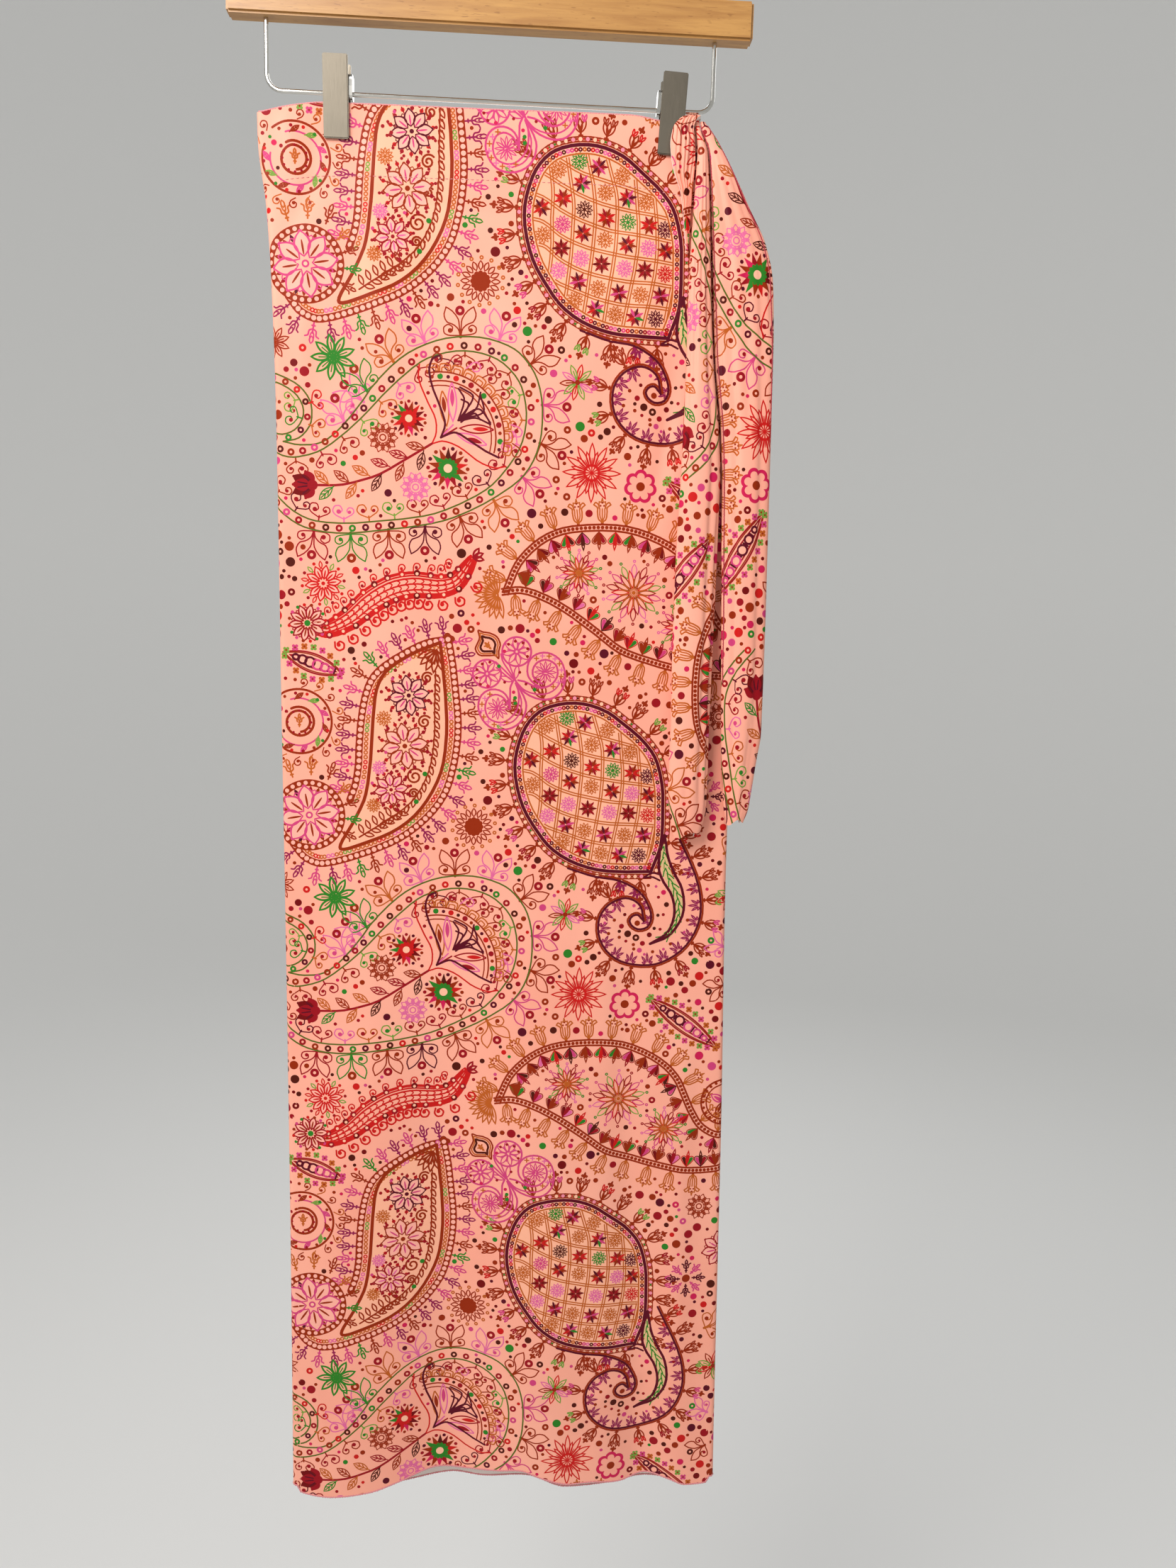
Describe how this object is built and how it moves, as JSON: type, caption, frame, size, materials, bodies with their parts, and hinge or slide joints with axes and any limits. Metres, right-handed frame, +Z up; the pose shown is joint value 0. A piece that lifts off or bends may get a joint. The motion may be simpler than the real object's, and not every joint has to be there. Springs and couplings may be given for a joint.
{
  "type": "side-tied sarong on a trouser hanger",
  "caption": "Narrow tube sarong with a knotted side tie, clipped flat by its waist to a wooden trouser hanger with a wire and sprung clips.",
  "frame": {"origin": "highest point of the inside of the hanger's hook, where a rail carries it", "axes": "+Z up, +X to the viewer's right along the bar, +Y away from the viewer, so the front panel faces -Y"},
  "size_m": [0.3694, 0.0377, 1.154],
  "materials": {
    "printed_cloth": "smooth stretch satin, printed",
    "tie_cloth": "smooth stretch satin, printed",
    "wood": "clear satin lacquer",
    "clip_metal": "satin nickel",
    "chrome": "bright plating"
  },
  "bodies": {
    "root": {"hook": "chrome", "hook_ferrule": "chrome", "hanger_bar": "wood", "wire": "chrome", "clip_left_front": "clip_metal", "clip_left_back": "clip_metal", "clip_left_hinge": "chrome", "clip_right_front": "clip_metal", "clip_right_back": "clip_metal", "clip_right_hinge": "chrome", "skirt_front": "printed_cloth", "skirt_back": "printed_cloth", "tie_knot": "tie_cloth", "tie_front": "tie_cloth", "tie_side": "tie_cloth"}
  },
  "joints": []
}
